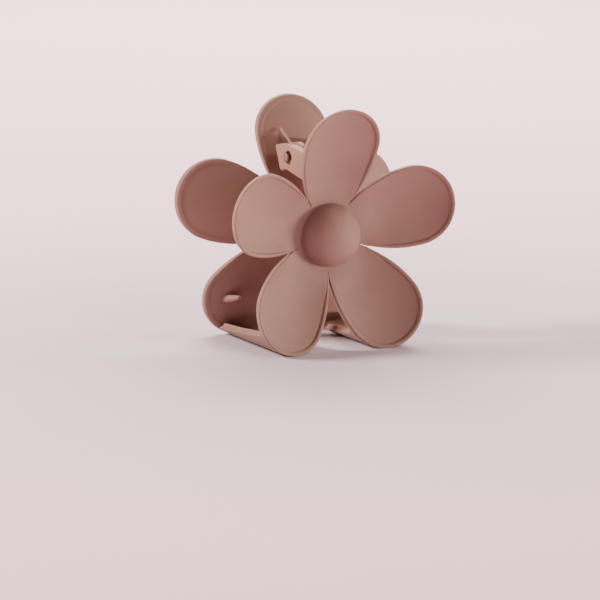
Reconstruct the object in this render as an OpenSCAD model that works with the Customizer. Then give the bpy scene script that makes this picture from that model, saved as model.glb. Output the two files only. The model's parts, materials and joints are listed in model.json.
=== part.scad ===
// Flower hair claw clip: two back-to-back flower jaws on one sprung hinge.
// +X runs along the hinge pin, -Y is the front flower's side, +Z is up.
// The origin is on the ground, midway between the two jaws.

/* [Flower] */
// Distance from a flower's centre to the tip of a petal
petal_reach = 40; // [39.6:0.1:40.4]
// Widest width of a petal
petal_width = 25.6; // [25:0.1:26.2]
// Distance from a flower's centre to the widest place of a petal
petal_waist = 27.9; // [27.4:0.1:28.4]
// Thickness of a petal
petal_thick = 2.2; // [1.8:0.1:2.4]
// How far a petal's tip leans outward from the hub
petal_lean = 10.2; // [9:0.1:10.6]
// How far a petal's sides rise outward from its middle line
petal_dish = 2.1; // [1.2:0.1:2.4]
// Depth of a petal's face below its rim
rim_step = 0.4; // [0.2:0.1:0.6]
// Diameter of the round hub plate that carries the petals
hub_d = 20.8; // [20.4:0.1:21.2]
// Diameter of the domed centre cap
cap_d = 19.5; // [19:0.1:20.4]
// Height of the domed centre cap
cap_h = 8; // [6:0.5:9]

/* [Jaws] */
// Distance between the middle planes of the two hub plates
hub_gap = 17.9; // [17.5:0.1:18.5]
// Width of the flat that the lowest petals stand on
foot_w = 4; // [3:0.5:5]

/* [Teeth] */
// Thickness of a tooth's wall
tooth_thick = 2.2; // [1.8:0.1:2.4]
// Gap between a tooth's free end and the rear petal
tooth_gap = 0.3; // [0.2:0.05:0.5]
// Diameter of a grip peg at its root
peg_d = 2.6; // [2:0.1:3.2]
// Length of a grip peg
peg_len = 8.6; // [6:0.2:9]

/* [Hinge] */
// Height of the hinge pin above the ground
pin_z = 57.8; // [57.5:0.1:58.1]
// Diameter of the hinge pin
pin_d = 2.8; // [2.4:0.1:3]
// How far the pin's ends stand out of the arms
pin_proud = 1; // [0.4:0.1:1.2]
// Radial clearance of the pin in the rear jaw's ears
run_clear = 0.05; // [0.03:0.01:0.08]
// Distance from the middle to an arm's inner face
arm_x = 7.1; // [7.1:0.1:7.4]
// Thickness of an arm
arm_thick = 2.9; // [2.6:0.1:3]
// Distance from the middle to an ear's inner face
ear_x = 5.3; // [5.3:0.05:5.4]
// Thickness of an ear
ear_thick = 1.5; // [1.3:0.1:1.5]
// Diameter of an ear's round head
ear_head_d = 9.4; // [8:0.2:9.4]

/* [Spring] */
// Diameter of the spring wire
wire_d = 0.8; // [0.6:0.05:0.85]
// Mean diameter of the spring coil
coil_d = 4.2; // [4:0.1:4.6]
// Whole turns of the coil
coil_turns = 7; // [6:1:8]
// Distance from the middle to the wire's middle at the coil's end
coil_half = 3.7; // [3.3:0.1:3.9]

/* [Hidden] */
$fn = 64;

PETAL_COLOR = [0.72, 0.55, 0.49];
METAL_COLOR = [0.62, 0.44, 0.33];
PETAL_STEP = 72;
LOW_ANGLE = 54;
TOP = 90;
UPPER_RIGHT = TOP - PETAL_STEP;
LOWER_RIGHT = UPPER_RIGHT - PETAL_STEP;
LOWER_LEFT = LOWER_RIGHT - PETAL_STEP;
UPPER_LEFT = TOP + PETAL_STEP;

half_w = petal_width / 2;
tip_len = petal_reach - petal_waist;
hub_r = hub_d / 2;

// A petal narrows from its waist to its root by a curve of this length and power
root_len = 26.2;
root_power = 0.954;
root_start = 9.9;
notch_r = hub_r + 0.9;
edge_steps = 9;

// The lean starts a quarter of the way out, part of it straight and the rest ever steeper
lean_start = petal_reach / 4;
lean_straight = 0.33;
// The dish grows from nothing at the hub to its full depth at this distance
dish_full = 16;

// Height of the hubs: the lowest petals reach below the ground by the depth of their flats
petal_low = norm([tip_len * sin(LOW_ANGLE), half_w * cos(LOW_ANGLE)]);
foot_depth = foot_w * foot_w / (8 * half_w);
hub_z = petal_waist * sin(LOW_ANGLE) + petal_low - foot_depth;

function clamp01(v) = max(0, min(1, v));

// Outward offset of a petal's middle surface at s along its length and t across it
function petal_rise(s, t) =
    let (q = max(s - lean_start, 0) / (petal_reach - lean_start))
    let (blend = clamp01((norm([s, t]) - hub_r) / (dish_full - hub_r)))
    petal_lean * (lean_straight * q + (1 - lean_straight) * q * q)
    + petal_dish * pow(t / half_w, 2) * blend;

// Half width of a petal between its root and its waist, at distance s from the hub's centre
function root_half(s) = half_w * pow(1 - pow((petal_waist - s) / root_len, 2), root_power);

// One edge of a petal's outline as [s, t], from the notch at the hub to the tip
root_s = [for (i = [0 : edge_steps]) root_start + (petal_waist - root_start) * i / edge_steps];
edge_points = concat(
    [[notch_r * cos(PETAL_STEP / 2), notch_r * sin(PETAL_STEP / 2)]],
    [for (s = root_s) [s, root_half(s)]],
    [for (i = [1 : edge_steps]) let (u = 90 * (1 - i / edge_steps))
        [petal_waist + tip_len * cos(u), half_w * sin(u)]]
);
edge_count = len(edge_points);
outline = concat(
    edge_points,
    [for (i = [edge_count - 2 : -1 : 0]) [edge_points[i][0], -edge_points[i][1]]]
);

// A point of the front flower: s along and t across the petal at angle a, and its y. What would
// reach below the ground is cut flat there.
function front_point(a, s, t, y) =
    [s * cos(a) - t * sin(a), y, max(0, hub_z + s * sin(a) + t * cos(a))];

// Faces of a closed slab whose points are two grids of rows by cols, the first one on top
function slab_faces(rows, cols) =
    let (n = rows * cols)
    concat(
        [for (r = [0 : rows - 2], c = [0 : cols - 2]) each let (i = r * cols + c)
            [[i, i + 1, i + cols + 1], [i, i + cols + 1, i + cols]]],
        [for (r = [0 : rows - 2], c = [0 : cols - 2]) each let (i = n + r * cols + c)
            [[i, i + cols + 1, i + 1], [i, i + cols, i + cols + 1]]],
        [for (c = [0 : cols - 2]) each let (i = c, j = (rows - 1) * cols + c)
            [[i, n + i, n + i + 1], [i, n + i + 1, i + 1],
             [j, j + 1, n + j + 1], [j, n + j + 1, n + j]]],
        [for (r = [0 : rows - 2]) each let (i = r * cols, j = r * cols + cols - 1)
            [[i, i + cols, n + i + cols], [i, n + i + cols, n + i],
             [j, n + j, n + j + cols], [j, n + j + cols, j + cols]]]
    );

// Rings of points from the hub to the outline, as fractions of the way. The last two are the rim.
ring_at = [0, 0.4, 0.75, 0.9, 0.95, 1];
face_rings = 4;
hub_clear = 0.005;

module petal(a) {
    cols = len(outline);
    rows = len(ring_at);
    grid = [for (f = ring_at, p = outline)
        let (root = (hub_r + hub_clear) * p / norm(p))
        root + (p - root) * f];
    outer = [for (i = [0 : len(grid) - 1])
        let (g = grid[i], step = floor(i / cols) < face_rings ? rim_step : 0)
        front_point(a, g[0], g[1], -hub_gap / 2 - petal_rise(g[0], g[1]) - petal_thick / 2 + step)];
    inner = [for (g = grid)
        front_point(a, g[0], g[1], -hub_gap / 2 - petal_rise(g[0], g[1]) + petal_thick / 2)];
    color(PETAL_COLOR) polyhedron(concat(outer, inner), slab_faces(rows, cols), convexity = 6);
}

module rear() {
    mirror([0, 1, 0]) children();
}

module left() {
    mirror([1, 0, 0]) children();
}

// Everything on the hub turns round an axis along Y through the flower's centre
module on_hub(depth) {
    translate([0, -hub_gap / 2 - depth, hub_z]) rotate([90, 0, 0]) children();
}

module hub() {
    color(PETAL_COLOR) on_hub(-petal_thick / 2) cylinder(h = petal_thick - rim_step, r = hub_r);
}

// The cap is a slice of a ball that rests on the hub's outer face
module cap() {
    ball_r = (cap_d * cap_d / 4 + cap_h * cap_h) / (2 * cap_h);
    color(PETAL_COLOR) on_hub(petal_thick / 2 - rim_step) intersection() {
        translate([0, 0, cap_h - ball_r]) sphere(r = ball_r);
        cylinder(h = cap_h + 1, r = cap_d);
    }
}

// A tooth is a curved wall along the lower edge of a petal. Its two long edges draw in toward
// its free end, whose corners are round. Angles run round the petal's tip from its middle line,
// positive on the flower's outer side.
tooth_root_span = [27, -92];
tooth_end_span = [2, -52];
tooth_corner = 7;
corner_start = 0.92;
tooth_rows_at = [0, 0.2, 0.4, 0.6, 0.8, corner_start, 0.96, 0.985, 1];
tooth_cols = 15;
tooth_embed = 0.4;
tooth_skin = 0.02;

function tooth_span(f) =
    let (round_f = max(f - corner_start, 0) / (1 - corner_start))
    let (cut = tooth_corner * (1 - sqrt(1 - round_f * round_f)))
    tooth_root_span * (1 - f) + tooth_end_span * f + [-cut, cut];

function tooth_point(f, g, inset) =
    let (span = tooth_span(f), u = span[0] + (span[1] - span[0]) * g)
    let (s = petal_waist + (tip_len - inset) * cos(u), t = (half_w - inset) * sin(u))
    let (rise = petal_rise(s, t))
    let (y_root = -hub_gap / 2 - rise + petal_thick / 2 - tooth_embed)
    let (y_end = hub_gap / 2 + rise - petal_thick / 2 - tooth_gap)
    front_point(LOWER_RIGHT, s, t, y_root + (y_end - y_root) * f);

module tooth() {
    wall = [for (inset = [tooth_thick, tooth_skin], f = tooth_rows_at, j = [0 : tooth_cols - 1])
        tooth_point(f, j / (tooth_cols - 1), inset)];
    color(PETAL_COLOR)
        polyhedron(wall, slab_faces(len(tooth_rows_at), tooth_cols), convexity = 6);
}

// Points down the inner face of the front top petal, from z_top to z_low at x, sunk by embed
root_embed = 0.6;
function petal_root(z_top, z_low, x) = [for (i = [0 : 4])
    let (z = z_top + (z_low - z_top) * i / 4)
    [-hub_gap / 2 - petal_rise(z - hub_z, x) + petal_thick / 2 - root_embed, z]];

// Side view of an arm as [y, z], up and down from the pin's middle: a slanted free end behind the
// pin, a top that peaks over it and a slightly arched lower edge
arm_free_end = [[-0.2, 4], [7.6, 3.1], [8.1, 2.5], [5, -4], [4.4, -4.4], [1.2, -3.7]];
arm_profile = concat(
    [for (p = arm_free_end) [p[0], pin_z + p[1]]],
    petal_root(pin_z - 5.8, pin_z + 2.4, arm_x + arm_thick / 2)
);
recess_d = 4.2;
recess_depth = 1.6;

module along_x(x, length) {
    translate([x, 0, 0]) rotate([90, 0, 90]) linear_extrude(height = length) children();
}

module pin_bar(x, length, d) {
    translate([x, 0, pin_z]) rotate([0, 90, 0]) cylinder(h = length, d = d);
}

module arm() {
    color(PETAL_COLOR) difference() {
        along_x(arm_x, arm_thick) polygon(arm_profile);
        pin_bar(arm_x - 1, arm_thick + 2, pin_d);
        pin_bar(arm_x + arm_thick - recess_depth, recess_depth + 1, recess_d);
    }
}

// Side view of an ear's web as [y, z] from the pin's middle, between the round head and the petal
ear_neck = [[1, 4.5], [-1, -4.3], [4, -4.2]];
ear_web = concat(
    [for (p = ear_neck) [p[0], pin_z + p[1]]],
    [for (p = petal_root(pin_z - 5.8, pin_z + 2.4, ear_x + ear_thick / 2)) [-p[0], p[1]]]
);

module ear() {
    color(PETAL_COLOR) difference() {
        union() {
            pin_bar(ear_x, ear_thick, ear_head_d);
            along_x(ear_x, ear_thick) polygon(ear_web);
        }
        pin_bar(ear_x - 1, ear_thick + 2, pin_d + 2 * run_clear);
    }
}

module hinge_pin() {
    pin_half = arm_x + arm_thick + pin_proud;
    color(METAL_COLOR) pin_bar(-pin_half, 2 * pin_half, pin_d);
}

// A grip peg is a tapered spike on the inner face of a rear lower petal, aimed slightly upward
peg_root = [22.3, 14.4, 12.1];
peg_tip_d = 1.3;
peg_rise = 13;

module grip_peg() {
    color(PETAL_COLOR) translate(peg_root) rotate([90 + peg_rise, 0, 0]) union() {
        cylinder(h = peg_len - peg_tip_d / 2, d1 = peg_d, d2 = peg_tip_d);
        translate([0, 0, peg_len - peg_tip_d / 2]) sphere(d = peg_tip_d);
    }
}

// The spring wire: a leg on the rear top petal, the coil round the pin, a leg on the front one.
// Each leg leaves the underside of the coil, straight up to the inner face of its petal.
leg_end = [5.6, 12.9, 65];
coil_r = coil_d / 2;
leg_reach = norm([leg_end[1], leg_end[2] - pin_z]);
leg_touch = atan2(leg_end[2] - pin_z, leg_end[1]) - acos(coil_r / leg_reach);
coil_sweep = 360 * coil_turns + 180 + 2 * leg_touch;
coil_steps = 14 * coil_turns;
wire_sides = 8;
wire_path = concat(
    [[-leg_end[0], leg_end[1], leg_end[2]]],
    [for (i = [0 : coil_steps]) let (f = i / coil_steps, a = leg_touch - coil_sweep * f)
        [coil_half * (2 * f - 1), coil_r * cos(a), pin_z + coil_r * sin(a)]],
    [[leg_end[0], -leg_end[1], leg_end[2]]]
);

function unit(v) = v / norm(v);

// A ring of the wire round path point i, square to the path there
function wire_ring(path, i) =
    let (ahead = path[min(i + 1, len(path) - 1)], behind = path[max(i - 1, 0)])
    let (way = unit(ahead - behind), side = unit(cross(way, [1, 0, 0])), up = cross(side, way))
    [for (k = [0 : wire_sides - 1]) let (a = 360 * k / wire_sides)
        path[i] + wire_d / 2 * (side * cos(a) + up * sin(a))];

module torsion_spring() {
    rings = [for (i = [0 : len(wire_path) - 1]) each wire_ring(wire_path, i)];
    last = len(rings) - wire_sides;
    sides = [for (i = [0 : len(wire_path) - 2], k = [0 : wire_sides - 1]) each
        let (a = i * wire_sides + k, b = i * wire_sides + (k + 1) % wire_sides)
        [[a, b, b + wire_sides], [a, b + wire_sides, a + wire_sides]]];
    ends = [[for (k = [wire_sides - 1 : -1 : 0]) k], [for (k = [0 : wire_sides - 1]) last + k]];
    color(METAL_COLOR) polyhedron(rings, concat(sides, ends), convexity = 10);
}

hub();  // front_hub
petal(TOP);  // front_petal_top
petal(UPPER_RIGHT);  // front_petal_upper_right
petal(LOWER_RIGHT);  // front_petal_lower_right
petal(LOWER_LEFT);  // front_petal_lower_left
petal(UPPER_LEFT);  // front_petal_upper_left
cap();  // front_cap
left() tooth();  // tooth_left
tooth();  // tooth_right
left() arm();  // hinge_arm_left
arm();  // hinge_arm_right
hinge_pin();
torsion_spring();
rear() hub();  // rear_hub
rear() petal(TOP);  // rear_petal_top
rear() petal(UPPER_RIGHT);  // rear_petal_upper_right
rear() petal(LOWER_RIGHT);  // rear_petal_lower_right
rear() petal(LOWER_LEFT);  // rear_petal_lower_left
rear() petal(UPPER_LEFT);  // rear_petal_upper_left
rear() cap();  // rear_cap
left() ear();  // hinge_ear_left
ear();  // hinge_ear_right
left() grip_peg();  // grip_peg_left
grip_peg();  // grip_peg_right
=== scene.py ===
"""Flower hair claw clip: the visual model, its materials, a plain stage and the camera.

Sizes of the clip are in millimetres and become metres when a mesh is made; the stage, camera and
lights are in metres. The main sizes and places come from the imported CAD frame. The outward
direction of a flower is the one that its domed cap faces.
"""
import json
from math import acos, atan2, cos, hypot, pi, radians, sin, tan

import bmesh
import bpy
from mathutils import Matrix, Vector


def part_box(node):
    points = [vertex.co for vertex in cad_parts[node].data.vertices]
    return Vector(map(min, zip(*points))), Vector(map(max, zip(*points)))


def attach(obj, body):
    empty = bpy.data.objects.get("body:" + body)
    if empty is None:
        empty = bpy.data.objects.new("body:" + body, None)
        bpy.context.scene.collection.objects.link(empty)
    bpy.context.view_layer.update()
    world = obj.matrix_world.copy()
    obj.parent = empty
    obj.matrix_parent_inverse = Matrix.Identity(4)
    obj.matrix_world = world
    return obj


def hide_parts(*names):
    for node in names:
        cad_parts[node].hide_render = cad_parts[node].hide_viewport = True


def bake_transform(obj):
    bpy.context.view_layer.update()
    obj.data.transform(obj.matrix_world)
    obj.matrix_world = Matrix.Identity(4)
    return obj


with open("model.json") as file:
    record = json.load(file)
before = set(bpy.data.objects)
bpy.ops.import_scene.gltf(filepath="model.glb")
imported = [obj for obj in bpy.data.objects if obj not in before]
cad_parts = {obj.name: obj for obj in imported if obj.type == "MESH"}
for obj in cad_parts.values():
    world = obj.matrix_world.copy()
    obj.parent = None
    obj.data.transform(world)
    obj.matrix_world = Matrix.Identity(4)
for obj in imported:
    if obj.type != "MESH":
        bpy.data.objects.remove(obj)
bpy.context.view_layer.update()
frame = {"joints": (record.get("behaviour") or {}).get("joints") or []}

MM = 0.001


# ---------------------------------------------------------------- sizes, from the frame
def span_mm(node):
    """Lowest and highest corner of a CAD node, in millimetres."""
    low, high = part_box(node)
    return low / MM, high / MM


HUB_LOW, HUB_HIGH = span_mm("front_hub")
TOP_HIGH = span_mm("front_petal_top")[1]
HUB_Z = (HUB_LOW.z + HUB_HIGH.z) / 2
HUB_R = (HUB_HIGH.x - HUB_LOW.x) / 2
REACH = TOP_HIGH.z - HUB_Z
HALF_W = TOP_HIGH.x
# A petal is this thick, is widest at WAIST from the flower's middle, has a round tip beyond that
# and would narrow to nothing over ROOT_LEN toward the middle
PLATE = 2.2
WAIST = 27.9
TIP_LEN = REACH - WAIST
ROOT_LEN = 26.2
# The petals' middle surface at the hub, and the hinge pin's middle
MIDDLE = -HUB_HIGH.y + PLATE / 2
PIN = Vector(frame["joints"][0]["pos_m"]) / MM

# A petal leans out by LEAN at its tip, from LEAN_START on, with this share of it straight. Its sides
# dish out by DISH at its widest, in full from DISH_FULL on
LEAN = 10.2
LEAN_START = REACH / 4
LEAN_STRAIGHT = 0.33
DISH = 2.1
DISH_FULL = 16

# Everything stands on the ground plane; this softens the small flats under the lowest petals
FOOT_BLEND = 0.1

# Directions of the petals in the flower's plane, clockwise from the top one
TOP_PETAL = 90
UPPER_RIGHT = 18
UPPER_LEFT = 162
PETAL_ANGLES = [TOP_PETAL, UPPER_RIGHT, 306, 234, UPPER_LEFT]
PETAL_STEP = 72


def clamp01(v):
    """A value kept between 0 and 1."""
    return max(0.0, min(1.0, v))


def smooth(v):
    """An even S-curve from 0 to 1."""
    v = clamp01(v)
    return v * v * (3 - 2 * v)


def petal_rise(s, t):
    """Outward offset of a petal's middle surface, at s along the petal and t across it."""
    q = max(s - LEAN_START, 0) / (REACH - LEAN_START)
    blend = clamp01((hypot(s, t) - HUB_R) / (DISH_FULL - HUB_R))
    return LEAN * (LEAN_STRAIGHT * q + (1 - LEAN_STRAIGHT) * q * q) + DISH * (t / HALF_W) ** 2 * blend


def above_ground(z):
    """Height of a point, eased to stay just above the ground."""
    return (z + hypot(z, FOOT_BLEND)) / 2


# ---------------------------------------------------------------- mesh helpers
def new_object(name, data):
    """An object with this data, in the scene."""
    obj = bpy.data.objects.new(name, data)
    bpy.context.scene.collection.objects.link(obj)
    return obj


def shade(mesh, sharp):
    """Smooth shading, apart from edges that turn by more than sharp degrees."""
    mesh.shade_smooth()
    mesh.set_sharp_from_angle(angle=radians(sharp))


def mesh_object(name, points, faces, sharp):
    """A smooth-shaded mesh object from points in millimetres."""
    mesh = bpy.data.meshes.new(name)
    mesh.from_pydata([Vector(p) * MM for p in points], [], faces)
    bm = bmesh.new()
    bm.from_mesh(mesh)
    bmesh.ops.remove_doubles(bm, verts=bm.verts, dist=1e-7)
    bmesh.ops.recalc_face_normals(bm, faces=bm.faces)
    bm.to_mesh(mesh)
    bm.free()
    shade(mesh, sharp)
    return new_object(name, mesh)


def ring_faces(rows, cols, first=0):
    """Quads between closed rings of points, each ring cols points long."""
    faces = []
    for r in range(rows - 1):
        for c in range(cols):
            a, b = first + r * cols + c, first + r * cols + (c + 1) % cols
            faces.append((a, b, b + cols, a + cols))
    return faces


def apply_modifiers(obj):
    """Replaces an object's mesh with its modified mesh."""
    graph = bpy.context.evaluated_depsgraph_get()
    mesh = bpy.data.meshes.new_from_object(obj.evaluated_get(graph))
    obj.modifiers.clear()
    old = obj.data
    obj.data = mesh
    bpy.data.meshes.remove(old)


def revolve(name, profile, place, segments, sharp=35):
    """A closed solid of revolution.

    profile is (radius, height) from the base's middle to the top's middle; place turns (x and y
    of the radius, height) into a point.
    """
    points, faces = [place(0, 0, profile[0][1])], []
    for radius, height in profile[1:-1]:
        for k in range(segments):
            a = 2 * pi * k / segments
            points.append(place(radius * cos(a), radius * sin(a), height))
    points.append(place(0, 0, profile[-1][1]))
    rings = len(profile) - 2
    faces += ring_faces(rings, segments, 1)
    last = len(points) - 1
    for k in range(segments):
        n = (k + 1) % segments
        faces.append((0, 1 + n, 1 + k))
        faces.append((last, last - segments + k, last - segments + n))
    return mesh_object(name, points, faces, sharp)


def round_corner(radius, steps, start, turn=90):
    """Offsets (dx, dy) of an arc of the given radius, from angle start through turn."""
    angles = [radians(start + turn * k / steps) for k in range(steps + 1)]
    return [(radius * cos(a), radius * sin(a)) for a in angles]


# ---------------------------------------------------------------- flowers
# The notches between the petals start this far from the flower's middle
NOTCH_R = 11.6
# Fullness of a petal's side, and how its points crowd toward the notch
SIDE_POWER = 0.954
SIDE_CROWDING = 1.15
# Steps along a petal's side, round its tip and round a notch
SIDE_STEPS = 30
TIP_STEPS = 56
NOTCH_STEPS = 6
# Beside the three lower notches the petals draw up to each other, which leaves only a crease: in
# full as far as CREASE_START from the flower's middle, and not at all beyond CREASE_END
CREASE_START = 12.6
CREASE_END = 15.4
CREASE_GAP = 0.07


def petal_side(s, creased):
    """Half width of a petal between its root and its waist."""
    half = HALF_W * (1 - ((WAIST - s) / ROOT_LEN) ** 2) ** SIDE_POWER
    if creased:
        touching = s * tan(radians(PETAL_STEP / 2)) - CREASE_GAP
        closed = 1 - smooth((hypot(s, half) - CREASE_START) / (CREASE_END - CREASE_START))
        half += (touching - half) * closed
    return half


def side_points(creased):
    """One side of a petal as (s, t), from its notch to its waist."""
    # It starts where it leaves the notches' circle, to a hundredth of a millimetre
    tries = [k / 100 for k in range(700, 1500)]
    start = next(s for s in tries if hypot(s, petal_side(s, creased)) > NOTCH_R)
    points = []
    for k in range(SIDE_STEPS):
        s = start + (WAIST - start) * (k / SIDE_STEPS) ** SIDE_CROWDING
        points.append((s, petal_side(s, creased)))
    return points


def petal_outline(angle):
    """Outline of the petal at this angle as (s, t), from its notch clockwise of it to the other one."""
    before = side_points(angle not in (TOP_PETAL, UPPER_LEFT))
    after = side_points(angle not in (TOP_PETAL, UPPER_RIGHT))
    tip = [(WAIST + TIP_LEN * cos(u), HALF_W * sin(u))
           for u in (pi / 2 - pi * k / TIP_STEPS for k in range(TIP_STEPS + 1))]
    return [(s, -t) for s, t in before] + tip[::-1] + after[::-1]


def notch_arc(side):
    """Round bottom of the slit between two petals, in the coordinates of the petal before it."""
    s, t = side
    half = radians(PETAL_STEP / 2)
    across = t * cos(half) - s * sin(half)
    along = s * cos(half) + t * sin(half)
    radius = -across
    arc = []
    for k in range(1, NOTCH_STEPS):
        a = pi * k / NOTCH_STEPS
        u, v = along - radius * sin(a), across + radius * (1 - cos(a))
        arc.append((u * cos(half) - v * sin(half), u * sin(half) + v * cos(half)))
    return arc


def flower_outline():
    """Closed outline as points in the flower's own plane (x, z), turning anticlockwise."""
    outline = []
    for angle in sorted(PETAL_ANGLES):
        petal = petal_outline(angle)
        c, s = cos(radians(angle)), sin(radians(angle))
        for p, q in petal + notch_arc(petal[-1]):
            outline.append(Vector((p * c - q * s, p * s + q * c)))
    return outline


def outward_normals(outline):
    """Unit vectors that point away from the flower, one for each point of its outline."""
    count = len(outline)
    normals = []
    for i in range(count):
        way = outline[(i + 1) % count] - outline[i - 1]
        normals.append(Vector((way.y, -way.x)).normalized())
    return normals


def on_petal(point):
    """A point of the flower's plane as (s, t) on the petal nearest to it."""
    angle = atan2(point.y, point.x)
    base = min(PETAL_ANGLES, key=lambda a: abs((angle - radians(a) + pi) % (2 * pi) - pi))
    c, s = cos(radians(base)), sin(radians(base))
    return point.x * c + point.y * s, -point.x * s + point.y * c


HALF_PLATE = PLATE / 2
# Level of the outer face inside its rim, and how far the inner face is sunk inside its own lip
FACE_TOP = HALF_PLATE - 0.54
INNER_LIP = 0.22
# Depth of a petal's outer hollow, how far out it is full, and the share of the petal that it fills
HOLLOW = 0.88
HOLLOW_FULL = 19
HOLLOW_EDGE = 0.86
# The rim fades between these distances from the flower's middle, down to this share of its width
RIM_NEAR = 12
RIM_FULL = 25
RIM_LEAST = 0.34
# How far in from the outline the rim reaches, and where the middle of its crest's arc lies
RIM_IN = 2.5
CREST_IN = 0.83
# Radii of the rim's crest, of its outer shoulder and of the plate's inner edge
CREST_R = 0.43
SHOULDER_R = 0.62
BACK_R = 0.45


def rim_section():
    """The rim as (distance in from the outline, height above the petal's middle surface).

    It runs from the outer face over the step and the rounded crest, round the edge to the inner
    face and its lip.
    """
    def arc(inward, level, radius, steps, start, turn):
        """An arc of the section, its middle this far in from the outline and at this level."""
        return [(inward - dx, level + dy) for dx, dy in round_corner(radius, steps, start, turn)]

    step = [(RIM_IN, FACE_TOP), (1.9, FACE_TOP), (1.62, FACE_TOP - 0.03), (1.47, FACE_TOP - 0.03),
            (1.38, FACE_TOP + 0.04), (1.31, FACE_TOP + 0.18)]
    crest = arc(CREST_IN, HALF_PLATE - CREST_R, CREST_R, 5, 155, -65)
    shoulder = arc(SHOULDER_R, HALF_PLATE - SHOULDER_R, SHOULDER_R, 8, 90, -90)
    back = arc(BACK_R, -HALF_PLATE + BACK_R, BACK_R, 5, 0, -90)
    lip = [(1.1, -HALF_PLATE), (1.35, -HALF_PLATE + 0.03), (1.6, -HALF_PLATE + INNER_LIP - 0.04),
           (1.85, -HALF_PLATE + INNER_LIP), (RIM_IN, -HALF_PLATE + INNER_LIP)]
    return step + crest + shoulder + back + lip


def face_hollow(s, t):
    """How far the outer face sinks below its rim's level at s along a petal and t across it."""
    half = HALF_W if s > WAIST else petal_side(s, False)
    past = max(s - WAIST, 0) / TIP_LEN
    grown = smooth((hypot(s, t) - HUB_R) / (HOLLOW_FULL - HUB_R))
    return HOLLOW * max(1 - (past ** 2 + (t / half) ** 2) / HOLLOW_EDGE ** 2, 0) * grown


def rim_share(point):
    """How much of the rim a point of the outline has: it fades out toward the hub."""
    return smooth((point.length - RIM_NEAR) / (RIM_FULL - RIM_NEAR))


FACE_RINGS = 20
# The faces' rings run in to a circle of this radius, under the cap
CENTRE_R = 7.0
# Only the outer side is hollowed: what lies above the face's level, less this
OUTER_MARGIN = 0.05


def flower(name, sign):
    """One jaw's five petals and hub, as one moulding. sign is -1 for the front, 1 for the rear."""
    outline = flower_outline()
    normals = outward_normals(outline)
    section = rim_section()
    count = len(outline)

    def face_ring(inset, height, f):
        """The outline moved in by inset, then drawn in to the middle circle as f falls to 0."""
        ring = []
        for p, n in zip(outline, normals):
            share = rim_share(p)
            q = p - n * inset * (RIM_LEAST + (1 - RIM_LEAST) * share)
            root = q.normalized() * CENTRE_R
            plain = min(max(height, -HALF_PLATE + INNER_LIP), FACE_TOP)
            ring.append((root.lerp(q, f), plain + (height - plain) * share))
        return ring

    rings = [face_ring(section[0][0], section[0][1], k / FACE_RINGS) for k in range(FACE_RINGS)]
    rings += [face_ring(inset, height, 1) for inset, height in section]
    rings += [face_ring(section[-1][0], section[-1][1], k / FACE_RINGS)
              for k in range(FACE_RINGS - 1, -1, -1)]

    points = []
    for ring in rings:
        for q, height in ring:
            s, t = on_petal(q)
            y = MIDDLE + petal_rise(s, t) + height
            if height > FACE_TOP - OUTER_MARGIN:
                y -= face_hollow(s, t)
            points.append((q.x, sign * y, above_ground(HUB_Z + q.y)))
    faces = ring_faces(len(rings), count)
    for ring, height in ((0, section[0][1]), (len(rings) - 1, section[-1][1])):
        middle = len(points)
        points.append((0, sign * (MIDDLE + height), HUB_Z))
        base = ring * count
        faces += [(middle, base + k, base + (k + 1) % count) for k in range(count)]
    return mesh_object(name, points, faces, sharp=50)


# ---------------------------------------------------------------- domed caps
CAP_LOW, CAP_HIGH = span_mm("front_cap")
CAP_R = (CAP_HIGH.x - CAP_LOW.x) / 2
CAP_H = CAP_HIGH.y - CAP_LOW.y
# Size of the curve at the cap's foot, how far its middle is cut in, and the dome's fullness
CAP_FOOT = 0.22
FOOT_CUT = 0.3
CAP_POWER = 0.96
CAP_STEPS = 44


def cap(name, sign):
    """A domed cap whose foot curves out onto the hub."""
    base = -CAP_HIGH.y
    profile = [(0, 0), (CAP_R + CAP_FOOT, 0), (CAP_R + CAP_FOOT * FOOT_CUT, CAP_FOOT * FOOT_CUT)]
    for k in range(CAP_STEPS):
        a = radians(90 * k / CAP_STEPS)
        profile.append((CAP_R * cos(a) ** CAP_POWER, CAP_FOOT + (CAP_H - CAP_FOOT) * sin(a)))
    profile.append((0, CAP_H))
    return revolve(name, profile, lambda u, v, h: (u, sign * (base + h), HUB_Z + v),
                   segments=96, sharp=60)


# ---------------------------------------------------------------- teeth
# A tooth follows the round tip of its petal, whose direction on the right side is this
LOWER_PETAL = -54
TOOTH_THICK = 2.2
# Upper and lower edge, in degrees round the petal's tip, at the root and at the free end
TOOTH_ROOT = (27, -92)
TOOTH_END = (2, -52)
# At its root each edge flares by this many degrees, over this share of the tooth's length
TOOTH_FLARE = 9
FLARE_SHARE = 0.12
# It starts this far from the front plate's middle surface and ends this far short of the rear plate
TOOTH_START = 0.1
TOOTH_GAP = 0.35
# Radius of its long edges, and the least of it that is left on the free end
TOOTH_EDGE = 0.32
LEAST_EDGE = 0.08
# Its free end narrows by this much at each edge, over this share of the tooth's length
TOOTH_CORNER = 1.6
TOOTH_TIP = 0.1
# Where its sections stand before the tip, as shares of its length
TOOTH_ROWS = (0, 0.03, 0.06, 0.1, 0.16, 0.3, 0.45, 0.6, 0.75, 0.86, 0.9)
# Half width and depth of the groove along its upper edge, and how many points draw it
EDGE_GROOVE = 0.28
GROOVE_POINTS = 3


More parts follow.
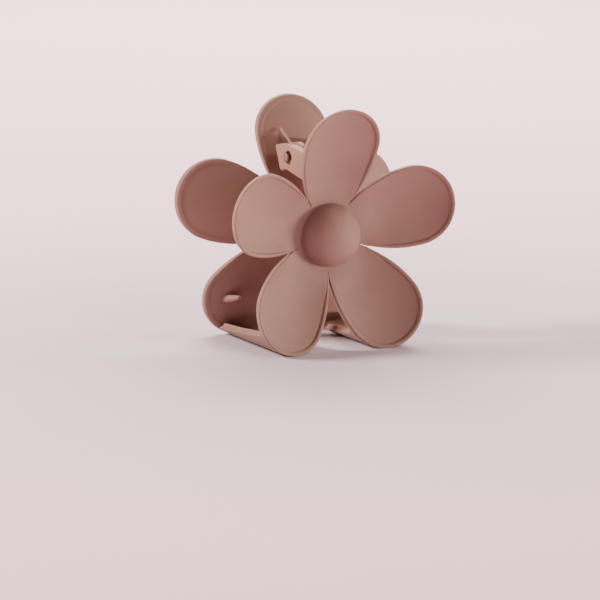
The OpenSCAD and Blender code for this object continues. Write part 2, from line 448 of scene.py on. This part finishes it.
def rounded_band(a0, a1, b0, b1, radius, long_steps, corner_steps):
    """A rounded rectangle as (a, b), first along b0 from a0 to a1, then back along b1.

    The end at a1 has a shallow groove along its middle.
    """
    def corner(a, b, start):
        """One rounded corner, its arc's middle at (a, b)."""
        return [(a + da, b + db) for da, db in round_corner(radius, corner_steps, start)]

    middle = (b0 + b1) / 2
    loop = []
    for k in range(long_steps + 1):
        loop.append((a0 + radius + (a1 - a0 - 2 * radius) * k / long_steps, b0))
    loop += corner(a1 - radius, b0 + radius, -90)[1:]
    loop += [(a1, middle - EDGE_GROOVE), (a1 - EDGE_GROOVE, middle), (a1, middle + EDGE_GROOVE)]
    loop += corner(a1 - radius, b1 - radius, 0)
    for k in range(1, long_steps + 1):
        loop.append((a1 - radius + (a0 - a1 + 2 * radius) * k / long_steps, b1))
    loop += corner(a0 + radius, b1 - radius, 90)[1:]
    loop += corner(a0 + radius, b0 + radius, 180)[:-1]
    return loop


def tooth(name, side):
    """The curved wall under a lower petal. side is 1 on the right, -1 on the left."""
    tip_r = (HALF_W + TIP_LEN) / 2
    c, s = cos(radians(LOWER_PETAL)), sin(radians(LOWER_PETAL))
    long_steps, corner_steps = 44, 4
    # Rows as (share of the length, share of the narrowing), ending in a quarter of a turn
    rows = [(f, 0) for f in TOOTH_ROWS]
    rows += [(1 - TOOTH_TIP + TOOTH_TIP * sin(radians(a)), 1 - cos(radians(a)))
             for a in range(10, 91, 10)]

    def section(f, corner, inset):
        """The section at share f of the length, with this share of the narrowing, moved in by inset."""
        flare = TOOTH_FLARE * (1 - min(f / FLARE_SHARE, 1)) ** 2
        high = TOOTH_ROOT[0] * (1 - f) + TOOTH_END[0] * f + flare
        low = TOOTH_ROOT[1] * (1 - f) + TOOTH_END[1] * f - flare
        a0 = radians(low) * tip_r + corner * TOOTH_CORNER
        a1 = radians(high) * tip_r - corner * TOOTH_CORNER
        radius = max(TOOTH_EDGE - inset * 0.5, LEAST_EDGE)
        return rounded_band(a0 + inset, a1 - inset, inset, TOOTH_THICK - inset, radius,
                            long_steps, corner_steps)

    points = []

    def add_ring(f, corner, inset, back):
        """Wraps a section round the petal's tip, this far back from its place."""
        for a, b in section(f, corner, inset):
            u = a / tip_r
            p, q = WAIST + (TIP_LEN - b) * cos(u), (HALF_W - b) * sin(u)
            rise = petal_rise(p, q)
            y_root = -MIDDLE - rise + TOOTH_START
            y_end = MIDDLE + rise - HALF_PLATE - TOOTH_GAP
            y = y_root + (y_end - y_root) * f - back
            points.append((side * (p * c - q * s), y, above_ground(HUB_Z + p * s + q * c)))

    for f, corner in rows[:-1]:
        add_ring(f, corner, 0, 0)
    # The free end's edges, rounded off in four steps
    for a in (0, 22, 45, 67, 90):
        add_ring(1, 1, TOOTH_EDGE * (1 - cos(radians(a))), TOOTH_EDGE * (1 - sin(radians(a))))
    cols = len(section(0, 0, 0))
    count = len(points) // cols
    faces = ring_faces(count, cols)
    inner_first = long_steps + 2 * corner_steps + 1 + GROOVE_POINTS
    for base in (0, (count - 1) * cols):
        for k in range(long_steps):
            j = inner_first + long_steps - k
            faces.append((base + k, base + k + 1, base + j - 1, base + j))
        faces.append([base + k for k in range(long_steps, inner_first + 1)])
        faces.append([base + k % cols for k in range(inner_first + long_steps, cols + 1)])
    return mesh_object(name, points, faces, sharp=50)


# ---------------------------------------------------------------- hinge
ARM_LOW, ARM_HIGH = span_mm("hinge_arm_right")
EAR_LOW, EAR_HIGH = span_mm("hinge_ear_right")
PIN_LOW, PIN_HIGH = span_mm("hinge_pin")
PIN_R = (PIN_HIGH.z - PIN_LOW.z) / 2
# The recess round the pin's end in each arm, and the chamfer round the open side of every bore
RECESS_R = 2.1
RECESS_DEPTH = 1.6
RECESS_CHAMFER = 0.22
# Room round the pin in an arm and in an ear. An ear's recess is as narrow as its bore, and this deep
ARM_CLEAR = 0.02
EAR_CLEAR = 0.05
EAR_MOUTH = 0.3
# Rounding of the arms' and ears' edges, and the turn in degrees that still shades smooth
EDGE_ROUND = 0.28
HINGE_SHARP = 38
# A rounded corner takes at most this share of the sides beside it
CORNER_SHARE = 0.45
# Length of the button on each end of the pin, and the radius of the neck under it
PIN_BUTTON = 0.6
PIN_NECK_R = 0.8
# The neck starts this far off the recess's floor, and narrows over this length
NECK_GAP = 0.05
NECK_SLOPE = 0.1
# The button's rounded edges as (radius less than the pin's, distance from its underside or its end)
BUTTON_UNDER = [(0.08, 0.02), (0, 0.1)]
BUTTON_END = [(0, 0.2), (0.06, 0.08), (0.2, 0.02)]
# An arm and an ear meet their petals over this height, from the pin's middle
ROOT_TOP = 2.4
ROOT_LOW = -5.8
# They start this far from the plate's middle surface, which is inside the plate
ROOT_START = 0.4
# Side view of an arm's free end as (y, z, corner radius) from the pin's middle
ARM_FREE_END = [(-0.2, 4, 1.2), (7.6, 3.1, 0.4), (8.1, 2.5, 0.3), (5, -4, 0.4), (4.4, -4.4, 0.3),
                (1.2, -3.7, 1.5)]
# An ear's round head runs from the first angle back to the second. Its heel is a corner below that,
# as (y, z, corner radius) from the pin's middle
EAR_HEAD = (282, 78)
EAR_STEPS = 28
EAR_HEEL = (4, -4.2, 1.5)


def petal_root(x, steps=6):
    """Points (y, z) up the inner side of the front top petal at x, sunk into the plate."""
    points = []
    for k in range(steps + 1):
        z = PIN.z + ROOT_LOW + (ROOT_TOP - ROOT_LOW) * k / steps
        points.append((-MIDDLE - petal_rise(z - HUB_Z, x) + ROOT_START, z))
    return points


def round_outline(corners, segments=6):
    """A closed outline from (y, z, radius) corners, each one rounded."""
    outline = []
    count = len(corners)
    for i in range(count):
        here = Vector(corners[i][:2])
        back = Vector(corners[i - 1][:2]) - here
        ahead = Vector(corners[(i + 1) % count][:2]) - here
        radius = corners[i][2]
        if radius == 0:
            outline.append(here)
            continue
        half = back.angle(ahead) / 2
        cut = min(radius / tan(half), CORNER_SHARE * back.length, CORNER_SHARE * ahead.length)
        start, end = here + back.normalized() * cut, here + ahead.normalized() * cut
        for k in range(segments + 1):
            f = k / segments
            outline.append(start.lerp(here, f).lerp(here.lerp(end, f), f))
    return outline


def slab(name, outline, x0, x1, cutter):
    """A plate between x0 and x1 with the outline (y, z), rounded edges and the cutter's bore."""
    bm = bmesh.new()
    low = [bm.verts.new(Vector((x0, p.x, p.y)) * MM) for p in outline]
    bm.faces.new(low)
    grown = bmesh.ops.extrude_face_region(bm, geom=bm.faces[:])
    moved = [v for v in grown["geom"] if isinstance(v, bmesh.types.BMVert)]
    bmesh.ops.translate(bm, verts=moved, vec=((x1 - x0) * MM, 0, 0))
    bmesh.ops.recalc_face_normals(bm, faces=bm.faces)
    rim = [e for e in bm.edges if abs(e.verts[0].co.x - e.verts[1].co.x) < 1e-9]
    bmesh.ops.bevel(bm, geom=rim, offset=EDGE_ROUND * MM, segments=4, profile=0.5, affect="EDGES")
    mesh = bpy.data.meshes.new(name)
    bm.to_mesh(mesh)
    bm.free()
    obj = new_object(name, mesh)
    cut = obj.modifiers.new("bore", "BOOLEAN")
    cut.operation, cut.solver, cut.object = "DIFFERENCE", "EXACT", cutter
    apply_modifiers(obj)
    bpy.data.objects.remove(cutter)
    shade(obj.data, HINGE_SHARP)
    return obj


def bore_cutter(x_open, x_far, sign, bore_r, recess_r, depth):
    """The shape of a bore along X with a chamfered recess on its open side."""
    mouth_r = recess_r + RECESS_CHAMFER
    length = abs(x_far - x_open) + 1
    profile = [(0, -1), (mouth_r, -1), (mouth_r, 0), (recess_r, RECESS_CHAMFER),
               (recess_r, depth), (bore_r, depth + 0.001), (bore_r, length), (0, length)]
    return revolve("cutter", profile, lambda u, v, h: (x_open - sign * h, u + PIN.y, v + PIN.z),
                   segments=48)


def arm(name, side):
    """One of the front jaw's two outer hinge arms."""
    inner, outer = ARM_LOW.x, ARM_HIGH.x
    corners = [(y, PIN.z + z, radius) for y, z, radius in ARM_FREE_END]
    corners += [(y, z, 0) for y, z in petal_root((inner + outer) / 2)]
    cutter = bore_cutter(side * outer, side * inner, side, PIN_R + ARM_CLEAR, RECESS_R, RECESS_DEPTH)
    return slab(name, round_outline(corners), side * inner, side * outer, cutter)


def ear(name, side):
    """One of the rear jaw's two inner hinge ears, with a round head on the pin."""
    inner, outer = EAR_LOW.x, EAR_HIGH.x
    head_r = PIN.y - EAR_LOW.y
    corners = []
    first, last = EAR_HEAD
    for k in range(EAR_STEPS + 1):
        a = radians(first - (first - last) * k / EAR_STEPS)
        corners.append((PIN.y + head_r * cos(a), PIN.z + head_r * sin(a), 0))
    corners += [(-y, z, 0) for y, z in reversed(petal_root((inner + outer) / 2))]
    heel_y, heel_z, heel_round = EAR_HEEL
    corners.append((heel_y, PIN.z + heel_z, heel_round))
    bore_r = PIN_R + EAR_CLEAR
    cutter = bore_cutter(side * outer, side * inner, side, bore_r, bore_r, EAR_MOUTH)
    return slab(name, round_outline(corners), side * inner, side * outer, cutter)


def hinge_pin(name):
    """The pin. A neck in each arm's recess leaves a flat button on each end."""
    half = PIN_HIGH.x
    floor_x = ARM_HIGH.x - RECESS_DEPTH + NECK_GAP
    under = half - PIN_BUTTON
    end = [(PIN_R, floor_x), (PIN_NECK_R, floor_x + NECK_SLOPE), (PIN_NECK_R, under)]
    end += [(PIN_R - less, under + off) for less, off in BUTTON_UNDER]
    end += [(PIN_R - less, half - off) for less, off in BUTTON_END]
    profile = [(0, -half)] + [(r, -x) for r, x in reversed(end)] + end + [(0, half)]
    return revolve(name, profile, lambda u, v, h: (h, u + PIN.y, v + PIN.z), segments=48, sharp=40)


# ---------------------------------------------------------------- spring
# The wire's diameter, and the share of it at the wire's very ends
WIRE_D = 0.8
WIRE_TIP = 0.72
WIRE_SIDES = 14
# The coil's radius to the middle of the wire, its whole turns and half its length
COIL_R = 2.1
COIL_TURNS = 7
COIL_HALF = 3.7
TURN_STEPS = 44
# A leg ends this far to its own side, out from the middle and above the ground
LEG_END = Vector((5.6, 12.9, 65))
LEG_STEPS = 14


def spring_path():
    """Middle line of the wire: rear leg, coil round the pin, front leg."""
    up, out = LEG_END.z - PIN.z, LEG_END.y
    touch = atan2(up, out) - acos(COIL_R / hypot(up, out))
    sweep = 2 * pi * COIL_TURNS + pi + 2 * touch
    steps = TURN_STEPS * COIL_TURNS
    coil = []
    for k in range(steps + 1):
        f = k / steps
        a = touch - sweep * f
        coil.append(Vector((COIL_HALF * (2 * f - 1), PIN.y + COIL_R * cos(a), PIN.z + COIL_R * sin(a))))
    rear_end = Vector((-LEG_END.x, LEG_END.y, LEG_END.z))
    front_end = Vector((LEG_END.x, -LEG_END.y, LEG_END.z))
    rear_leg = [rear_end.lerp(coil[0], k / LEG_STEPS) for k in range(LEG_STEPS)]
    front_leg = [coil[-1].lerp(front_end, k / LEG_STEPS) for k in range(1, LEG_STEPS + 1)]
    return rear_leg + coil + front_leg


def torsion_spring(name):
    """The wire swept along its path, with slightly smaller ends."""
    path = spring_path()
    points = []
    for i, p in enumerate(path):
        way = (path[min(i + 1, len(path) - 1)] - path[max(i - 1, 0)]).normalized()
        across = way.cross(Vector((1, 0, 0))).normalized()
        up = across.cross(way)
        radius = WIRE_D / 2 * (WIRE_TIP if i in (0, len(path) - 1) else 1)
        for k in range(WIRE_SIDES):
            a = 2 * pi * k / WIRE_SIDES
            points.append(p + (across * cos(a) + up * sin(a)) * radius)
    faces = ring_faces(len(path), WIRE_SIDES)
    last = (len(path) - 1) * WIRE_SIDES
    faces.append(list(range(WIRE_SIDES)))
    faces.append(list(range(last, last + WIRE_SIDES)))
    return mesh_object(name, points, faces, sharp=60)


# ---------------------------------------------------------------- grip pegs
# The right-hand peg's root, its radii there and at the tip, its length and its rise in degrees
PEG_ROOT = Vector((22.3, 14.4, 12.1))
PEG_R = 1.3
PEG_TIP_R = 0.65
PEG_LEN = 8.5
PEG_RISE = 13
# Its foot bends to the petal's face over this length, and is sunk this far into it
PEG_FOOT = 1.4
PEG_SINK = 0.15
# The foot's flare as (extra radius, height)
PEG_FLARE = [(0.35, 0), (0.1, 0.35), (0, 0.8)]
BODY_STEPS = 10
TIP_SLICES = 7


def grip_peg(name, side):
    """A tapered spike with a round tip, whose foot flares onto the inner face of its petal."""
    way = Vector((0, -cos(radians(PEG_RISE)), sin(radians(PEG_RISE))))
    across = Vector((1, 0, 0))
    up = way.cross(across)
    root = Vector((side * PEG_ROOT.x, PEG_ROOT.y, PEG_ROOT.z))

    def place(u, v, h):
        """A point of the peg, with its foot bent to the petal's face."""
        point = root + across * u + up * v + way * h
        s, t = on_petal(Vector((point.x, point.z - HUB_Z)))
        face = MIDDLE + petal_rise(s, t) - HALF_PLATE + INNER_LIP
        point.y += (face + PEG_SINK - point.y) * (1 - smooth(h / PEG_FOOT))
        return point

    profile = [(0, 0)] + [(PEG_R + extra, height) for extra, height in PEG_FLARE]
    body_start, body_end = PEG_FLARE[-1][1], PEG_LEN - PEG_TIP_R
    for k in range(1, BODY_STEPS + 1):
        f = k / BODY_STEPS
        profile.append((PEG_R + (PEG_TIP_R - PEG_R) * f, body_start + (body_end - body_start) * f))
    for k in range(1, TIP_SLICES):
        a = radians(90 * k / TIP_SLICES)
        profile.append((PEG_TIP_R * cos(a), body_end + PEG_TIP_R * sin(a)))
    profile.append((0, PEG_LEN))
    return revolve(name, profile, place, segments=40, sharp=50)


# ---------------------------------------------------------------- materials
def new_material(name):
    """A node material, with its node and link lists and its main shader."""
    mat = bpy.data.materials.new(name)
    mat.use_nodes = True
    nodes, links = mat.node_tree.nodes, mat.node_tree.links
    return mat, nodes, links, nodes["Principled BSDF"]


def noise(nodes, links, scale, detail):
    """Noise over the object's own coordinates."""
    coords = nodes.new("ShaderNodeTexCoord")
    tex = nodes.new("ShaderNodeTexNoise")
    tex.inputs["Scale"].default_value = scale
    tex.inputs["Detail"].default_value = detail
    tex.inputs["Roughness"].default_value = 0.5
    links.new(coords.outputs["Object"], tex.inputs["Vector"])
    return tex.outputs["Fac"]


def ramp(nodes, links, value, low, high, start=0.35, end=0.65):
    """A value turned into a colour between low and high."""
    node = nodes.new("ShaderNodeValToRGB")
    first, second = node.color_ramp.elements
    first.position, second.position = start, end
    first.color, second.color = (*low, 1), (*high, 1)
    links.new(value, node.inputs["Fac"])
    return node.outputs["Color"]


def map_range(nodes, links, value, low, high):
    """A value from 0 to 1 turned into one from low to high."""
    node = nodes.new("ShaderNodeMapRange")
    node.inputs["To Min"].default_value, node.inputs["To Max"].default_value = low, high
    links.new(value, node.inputs["Value"])
    return node.outputs["Result"]


def bump(nodes, links, shader, height, strength, distance, below=None):
    """Bumps the shader's surface, on top of an earlier bump where there is one."""
    node = nodes.new("ShaderNodeBump")
    node.inputs["Strength"].default_value = strength
    node.inputs["Distance"].default_value = distance
    links.new(height, node.inputs["Height"])
    if below:
        links.new(below, node.inputs["Normal"])
    links.new(node.outputs["Normal"], shader.inputs["Normal"])
    return node.outputs["Normal"]


def satin_plastic(name, color, rough):
    """Moulded satin plastic: faint tone drift, a fine matte grain and a soft flow unevenness."""
    mat, nodes, links, shader = new_material(name)
    low = tuple(v * 0.955 for v in color)
    high = tuple(min(v * 1.04, 1) for v in color)
    tone = noise(nodes, links, 55, 3)
    links.new(ramp(nodes, links, tone, low, high), shader.inputs["Base Color"])
    grain = noise(nodes, links, 5200, 2)
    links.new(map_range(nodes, links, grain, rough - 0.05, rough + 0.05), shader.inputs["Roughness"])
    flow = noise(nodes, links, 160, 2)
    soft = bump(nodes, links, shader, flow, 0.04, 0.0004)
    bump(nodes, links, shader, grain, 0.06, 0.00004, soft)
    shader.inputs["Specular IOR Level"].default_value = 0.18
    shader.inputs["Subsurface Weight"].default_value = 0.05
    shader.inputs["Subsurface Radius"].default_value = (1.0, 0.45, 0.35)
    shader.inputs["Subsurface Scale"].default_value = 0.0012
    shader.inputs["Sheen Weight"].default_value = 0.02
    shader.inputs["Sheen Roughness"].default_value = 0.5
    return mat


def satin_metal(name, color, rough):
    """Plated metal with fine turning marks and slight wear."""
    mat, nodes, links, shader = new_material(name)
    low = tuple(v * 0.85 for v in color)
    wear = noise(nodes, links, 700, 4)
    links.new(ramp(nodes, links, wear, low, color), shader.inputs["Base Color"])
    marks = noise(nodes, links, 4000, 2)
    links.new(map_range(nodes, links, marks, rough - 0.06, rough + 0.1), shader.inputs["Roughness"])
    bump(nodes, links, shader, marks, 0.08, 0.00003)
    shader.inputs["Metallic"].default_value = 1.0
    return mat


# The jaws' base colour. The caps are slightly darker, and the wire slightly redder. The hinge is
# slightly redder and lighter, a painted highlight for the light on the arms' outer faces
ROSE = (0.278, 0.153, 0.123)
PLASTIC = satin_plastic("rose_plastic", ROSE, 0.56)
CAP_PLASTIC = satin_plastic("rose_plastic_cap", tuple(v * 0.96 for v in ROSE), 0.56)
# The hinge's lighter, warmer tone is painted highlight
HINGE_PAINTED_HIGHLIGHT_PLASTIC = satin_plastic("rose_plastic_hinge_painted_highlight", (0.315, 0.165, 0.122), 0.52)
PIN_METAL = satin_metal("rose_gold_pin", (0.33, 0.21, 0.152), 0.4)
SPRING_METAL = satin_plastic("coated_wire", (0.31, 0.167, 0.135), 0.46)


# ---------------------------------------------------------------- pieces
def add_piece(obj, material, body, slot, *nodes):
    """Gives a piece its material and body, and hides the CAD nodes that it stands for. The slot is not
    used.
    """
    obj.data.materials.clear()
    obj.data.materials.append(material)
    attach(obj, body)
    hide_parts(*nodes)


PETAL_NAMES = ["petal_top", "petal_upper_right", "petal_lower_right",
               "petal_lower_left", "petal_upper_left"]

for jaw, sign in (("front", -1), ("rear", 1)):
    petals = [f"{jaw}_{name}" for name in PETAL_NAMES]
    add_piece(flower(f"{jaw}_flower", sign), PLASTIC, f"{jaw}_jaw", "petals", f"{jaw}_hub", *petals)
    add_piece(cap(f"{jaw}_domed_cap", sign), CAP_PLASTIC, f"{jaw}_jaw", "caps", f"{jaw}_cap")

for label, side in (("left", -1), ("right", 1)):
    add_piece(tooth(f"{label}_tooth", side), PLASTIC, "front_jaw", "petals", f"tooth_{label}")
    add_piece(arm(f"{label}_arm", side), HINGE_PAINTED_HIGHLIGHT_PLASTIC, "front_jaw", "hinge_plastic",
              f"hinge_arm_{label}")
    add_piece(ear(f"{label}_ear", side), HINGE_PAINTED_HIGHLIGHT_PLASTIC, "rear_jaw", "hinge_plastic",
              f"hinge_ear_{label}")
    add_piece(grip_peg(f"{label}_peg", side), PLASTIC, "rear_jaw", "petals", f"grip_peg_{label}")

add_piece(hinge_pin("pin"), PIN_METAL, "front_jaw", "pin", "hinge_pin")

spring = torsion_spring("spring")
spring.data.materials.append(SPRING_METAL)
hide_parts("torsion_spring")
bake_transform(spring)


# ---------------------------------------------------------------- stage, lights, camera
# The paper's tones, painted shade round the clip and pale paper beyond it, and how far from the clip it
# turns from the one to the other, in metres
STAGE_SHADE = (0.66, 0.542, 0.623)
STAGE_PALE = (0.915, 0.644, 0.766)
STAGE_NEAR = 0.05
STAGE_FAR = 0.25
FLOOR_HALF = 4.0


def stage_material():
    """Matte paper with painted shade: darker round the clip and pale beyond it."""
    mat, nodes, links, shader = new_material("stage_paper")
    coords = nodes.new("ShaderNodeTexCoord")
    distance = nodes.new("ShaderNodeVectorMath")
    distance.operation = "LENGTH"
    links.new(coords.outputs["Object"], distance.inputs[0])
    spread = nodes.new("ShaderNodeMapRange")
    spread.interpolation_type = "SMOOTHSTEP"
    spread.inputs["From Min"].default_value = STAGE_NEAR
    spread.inputs["From Max"].default_value = STAGE_FAR
    links.new(distance.outputs["Value"], spread.inputs["Value"])
    # The darker tone near the clip is painted shade
    tone = ramp(nodes, links, spread.outputs["Result"], STAGE_SHADE, STAGE_PALE, 0, 1)
    links.new(tone, shader.inputs["Base Color"])
    shader.inputs["Roughness"].default_value = 0.9
    shader.inputs["Specular IOR Level"].default_value = 0.1
    return mat


def floor():
    """A wide square of paper that the clip stands on."""
    corners = [(x * FLOOR_HALF, y * FLOOR_HALF, 0) for x, y in ((-1, -1), (1, -1), (1, 1), (-1, 1))]
    mesh = bpy.data.meshes.new("floor")
    mesh.from_pydata(corners, [], [(0, 1, 2, 3)])
    obj = new_object("floor", mesh)
    obj.data.materials.append(stage_material())


# The camera fitted to the photo, its lens and sensor in millimetres. It aims at a point left of and
# below one on the clip's middle line
VIEW_AZIMUTH = radians(-29.54)
VIEW_ELEVATION = radians(10.94)
VIEW_ROLL = radians(-1.51)
VIEW_DISTANCE = 1.0667
LENS = 207.3
SENSOR = 36
AIM_HEIGHT = 0.03494
AIM_LEFT = 0.00384
AIM_DOWN = 0.02189
CENTRE = Vector((0, 0, HUB_Z)) * MM
RIGHT = Vector((cos(VIEW_AZIMUTH), sin(VIEW_AZIMUTH), 0))
AHEAD = Vector((-sin(VIEW_AZIMUTH), cos(VIEW_AZIMUTH), 0))
# Lights stand this far from the flower's middle and have these sizes and this tint
LIGHT_DISTANCE = 1.3
LIGHT_TINT = (1, 0.9, 0.82)
SOFTBOX = (0.35, 0.35)
STRIP = (0.35, 0.026)
CEILING = (1.7, 1.3)
BACK_PANEL = (1.2, 0.6)
# The backdrop's light shines on the paper behind the clip
BACKDROP = AHEAD * 0.85


def studio_light(name, azimuth, elevation, size, power, aim=CENTRE):
    """An area light round the flower, its angles in degrees and its power in watts.

    Azimuth runs from the camera's side round to its right.
    """
    data = bpy.data.lights.new(name, "AREA")
    data.shape, data.size, data.size_y = "RECTANGLE", size[0], size[1]
    data.energy = power
    data.color = LIGHT_TINT
    side, height = radians(azimuth), radians(elevation)
    level = RIGHT * sin(side) - AHEAD * cos(side)
    obj = new_object(name, data)
    obj.location = CENTRE + (level * cos(height) + Vector((0, 0, sin(height)))) * LIGHT_DISTANCE
    obj.rotation_euler = (aim - obj.location).to_track_quat("-Z", "Y").to_euler()


def camera():
    """The photo's camera."""
    look = AHEAD * cos(VIEW_ELEVATION) - Vector((0, 0, sin(VIEW_ELEVATION)))
    up = AHEAD * sin(VIEW_ELEVATION) + Vector((0, 0, cos(VIEW_ELEVATION)))
    aim = Vector((0, 0, AIM_HEIGHT)) - RIGHT * AIM_LEFT - up * AIM_DOWN
    data = bpy.data.cameras.new("camera")
    data.lens, data.sensor_width = LENS, SENSOR
    data.clip_start, data.clip_end = 0.01, 50
    obj = new_object("camera", data)
    obj.location = aim - look * VIEW_DISTANCE
    right = RIGHT * cos(VIEW_ROLL) - up * sin(VIEW_ROLL)
    obj.rotation_euler = Matrix((right, look.cross(right) * -1, -look)).transposed().to_euler()
    bpy.context.scene.camera = obj


# The surroundings' colour and strength
WORLD_COLOR = (1, 0.95, 0.95, 1)
WORLD_STRENGTH = 0.02


def dark_world():
    """The lights do all the lighting, so the surroundings add only a trace."""
    surroundings = bpy.data.worlds.new("studio")
    surroundings.use_nodes = True
    back = surroundings.node_tree.nodes["Background"]
    back.inputs["Color"].default_value = WORLD_COLOR
    back.inputs["Strength"].default_value = WORLD_STRENGTH
    bpy.context.scene.world = surroundings


floor()
dark_world()
camera()
studio_light("key_left", -86, 29, SOFTBOX, 34)
studio_light("back", 180, 62, CEILING, 14)
studio_light("backdrop", 180, 40, BACK_PANEL, 36, BACKDROP)
studio_light("top_right", 45, 42, SOFTBOX, 5.4)
studio_light("side_right", 110, 25, SOFTBOX, 7.5)
studio_light("front_right", 45, 0, SOFTBOX, 1.3)
studio_light("low_strip", 80, -0.9, STRIP, 16.5)
